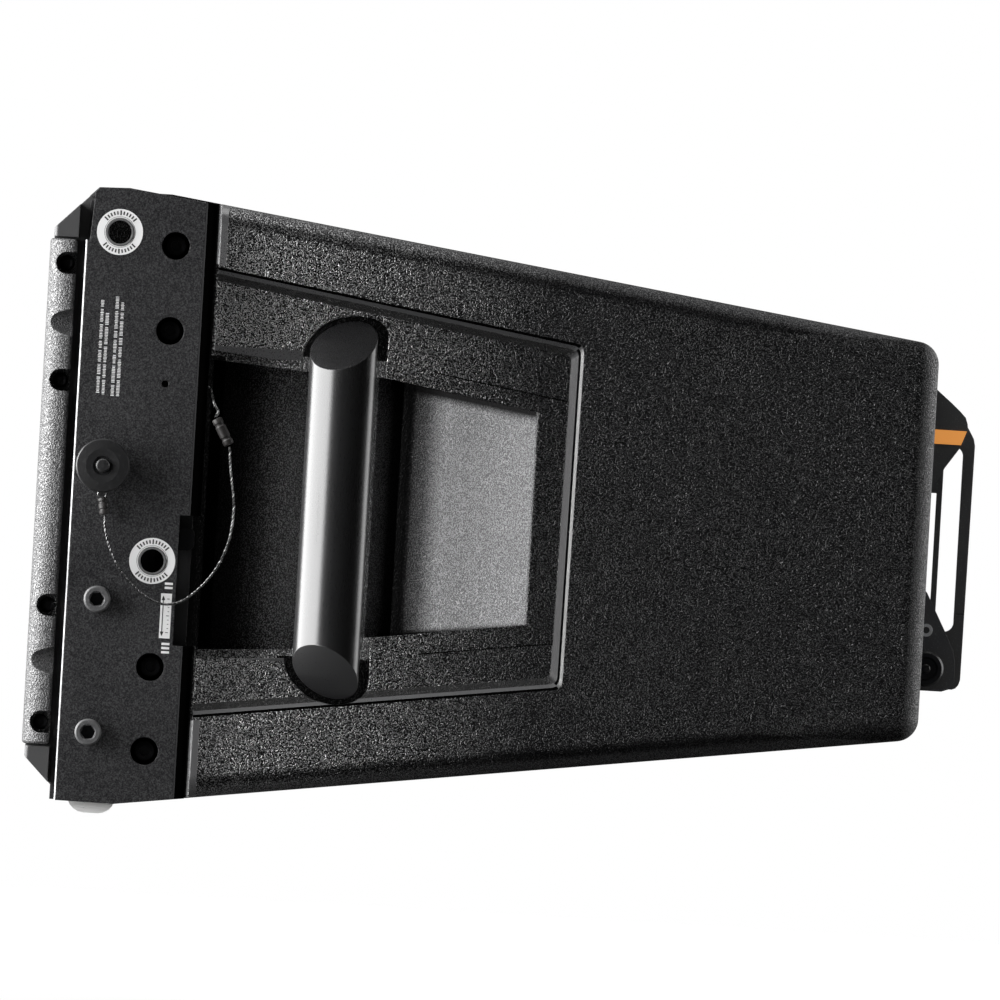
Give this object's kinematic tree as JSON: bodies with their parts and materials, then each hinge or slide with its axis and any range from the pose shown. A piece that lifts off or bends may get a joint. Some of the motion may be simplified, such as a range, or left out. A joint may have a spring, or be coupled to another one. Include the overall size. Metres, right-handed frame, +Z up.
{
  "type": "line array speaker",
  "caption": "Powered two-way line array loudspeaker module with tapered grained cabinet, side grip bars, steel rigging plates, sliding link brackets and quick-release pins.",
  "frame": {"origin": "centre of the bottom of the overall box, with the link brackets pushed in", "axes": "+Z up, the grille faces -Y, +X across the width"},
  "size_m": [0.6094, 0.4484, 0.2982],
  "materials": {
    "cabinet_plastic": "black moulded polypropylene with a fine leather grain",
    "frame_plastic": "smooth satin black moulding",
    "grille_steel": "powder-coated perforated steel",
    "foam": "open-cell foam",
    "zinc_steel": "zinc-plated steel",
    "dark_screw_steel": "dark oxidised steel",
    "plywood": "birch plywood",
    "cast_alloy": "painted cast alloy",
    "diaphragm_film": "thin formed metal",
    "magnet_steel": "plated magnet assembly",
    "soft_rubber": "matt",
    "spider_cloth": "treated cloth",
    "cone_pulp": "coated paper pulp",
    "coil_wire": "enamelled wire",
    "painted_steel": "satin fine-texture black powder coat",
    "bracket_steel": "zinc-plated steel",
    "white_label": "white printed ring",
    "pin_knob_black": "black anodised",
    "crimp_sleeve": "black sleeve over a metal crimp",
    "steel_cable": "coated stranded cable",
    "grip_tube": "satin black tube",
    "nylon": "machined nylon",
    "orange_paint": "printed orange band",
    "painted_aluminium": "fine-texture coating",
    "anodised_black": "black anodised",
    "indicator_lens": "tinted lenses",
    "socket_metal": "nickel black",
    "socket_plastic": "moulded, blue tinted",
    "knob_plastic": "soft-touch",
    "circuit_board": "green laminate",
    "power_parts": "wound and potted parts"
  },
  "bodies": {
    "root": {"amp_board": "circuit_board", "amp_panel": "painted_aluminium", "arm_guides": "nylon", "back_plates": "painted_steel", "cabinet_shell": "cabinet_plastic", "compression_diaphragm": "diaphragm_film", "compression_driver": "cast_alloy", "damping_foam": "foam", "front_frame": "frame_plastic", "front_grille": "grille_steel", "front_trims": "cabinet_plastic", "grille_foam": "foam", "guide_screws": "dark_screw_steel", "handle_bar_left": "grip_tube", "handle_bar_right": "grip_tube", "handle_bolts": "zinc_steel", "heat_sink": "anodised_black", "hole_bushes": "zinc_steel", "index_bands": "orange_paint", "indicator_lights": "indicator_lens", "label_rings": "white_label", "lanyard_ferrules": "crimp_sleeve", "lanyard_left": "steel_cable", "lanyard_right": "steel_cable", "mains_sockets": "socket_plastic", "panel_gasket": "soft_rubber", "phase_plug": "frame_plastic", "plate_screws": "dark_screw_steel", "plate_spacers": "zinc_steel", "power_supply": "power_parts", "rear_bracket": "painted_steel", "rear_screws": "dark_screw_steel", "side_plate_left": "painted_steel", "side_plate_right": "painted_steel", "signal_sockets": "socket_metal", "trim_screws": "zinc_steel", "waveguide": "frame_plastic", "woofer_baffle": "plywood", "woofer_baskets": "cast_alloy", "woofer_magnets": "magnet_steel", "woofer_screws": "zinc_steel", "woofer_spiders": "spider_cloth", "woofer_surrounds": "soft_rubber"},
    "front_bracket_right": {"front_bracket_right": "bracket_steel"},
    "front_bracket_left": {"front_bracket_left": "bracket_steel"},
    "quick_pin_right": {"quick_pin_right": "pin_knob_black", "pin_ferrule_right": "crimp_sleeve"},
    "quick_pin_left": {"quick_pin_left": "pin_knob_black", "pin_ferrule_left": "crimp_sleeve"},
    "pin_button_right": {"pin_button_right": "zinc_steel"},
    "pin_button_left": {"pin_button_left": "zinc_steel"},
    "rear_link_arm": {"rear_link_arm": "painted_steel"},
    "rear_pin": {"rear_pin": "pin_knob_black"},
    "rear_pin_button": {"rear_pin_button": "zinc_steel"},
    "woofer_cone_right": {"woofer_cone_right": "cone_pulp", "voice_coil_right": "coil_wire"},
    "woofer_cone_left": {"woofer_cone_left": "cone_pulp", "voice_coil_left": "coil_wire"},
    "control_knob": {"control_knob": "knob_plastic"},
    "control_button": {"control_button": "knob_plastic"}
  },
  "joints": [
    {"name": "front_bracket_right_slide", "type": "slide", "parent": "root", "child": "front_bracket_right", "axis": [0, 0, -1], "range_m": [0, 0.045]},
    {"name": "front_bracket_left_slide", "type": "slide", "parent": "root", "child": "front_bracket_left", "axis": [0, 0, -1], "range_m": [0, 0.045]},
    {"name": "quick_pin_right_pull", "type": "slide", "parent": "root", "child": "quick_pin_right", "axis": [1, 0, 0], "range_m": [0, 0.03]},
    {"name": "quick_pin_left_pull", "type": "slide", "parent": "root", "child": "quick_pin_left", "axis": [-1, 0, 0], "range_m": [0, 0.03]},
    {"name": "pin_button_right_press", "type": "slide", "parent": "quick_pin_right", "child": "pin_button_right", "axis": [-1, 0, 0], "range_m": [0, 0.003]},
    {"name": "pin_button_left_press", "type": "slide", "parent": "quick_pin_left", "child": "pin_button_left", "axis": [1, 0, 0], "range_m": [0, 0.003]},
    {"name": "rear_link_arm_slide", "type": "slide", "parent": "root", "child": "rear_link_arm", "axis": [0, 0, 1], "range_m": [0, 0.09]},
    {"name": "rear_pin_pull", "type": "slide", "parent": "root", "child": "rear_pin", "axis": [1, 0, 0], "range_m": [0, 0.04]},
    {"name": "rear_pin_button_press", "type": "slide", "parent": "rear_pin", "child": "rear_pin_button", "axis": [-1, 0, 0], "range_m": [0, 0.003]},
    {"name": "woofer_cone_right_stroke", "type": "slide", "parent": "root", "child": "woofer_cone_right", "axis": [0, -1, 0], "range_m": [-0.005, 0.005]},
    {"name": "woofer_cone_left_stroke", "type": "slide", "parent": "root", "child": "woofer_cone_left", "axis": [0, -1, 0], "range_m": [-0.005, 0.005]},
    {"name": "control_knob_turn", "type": "hinge", "parent": "root", "child": "control_knob", "pos_m": [0.074, 0.1858, 0.1894], "axis": [0, 1, 0], "range_deg": [-150, 150]},
    {"name": "control_button_press", "type": "slide", "parent": "root", "child": "control_button", "axis": [0, -1, 0], "range_m": [0, 0.0015]}
  ]
}
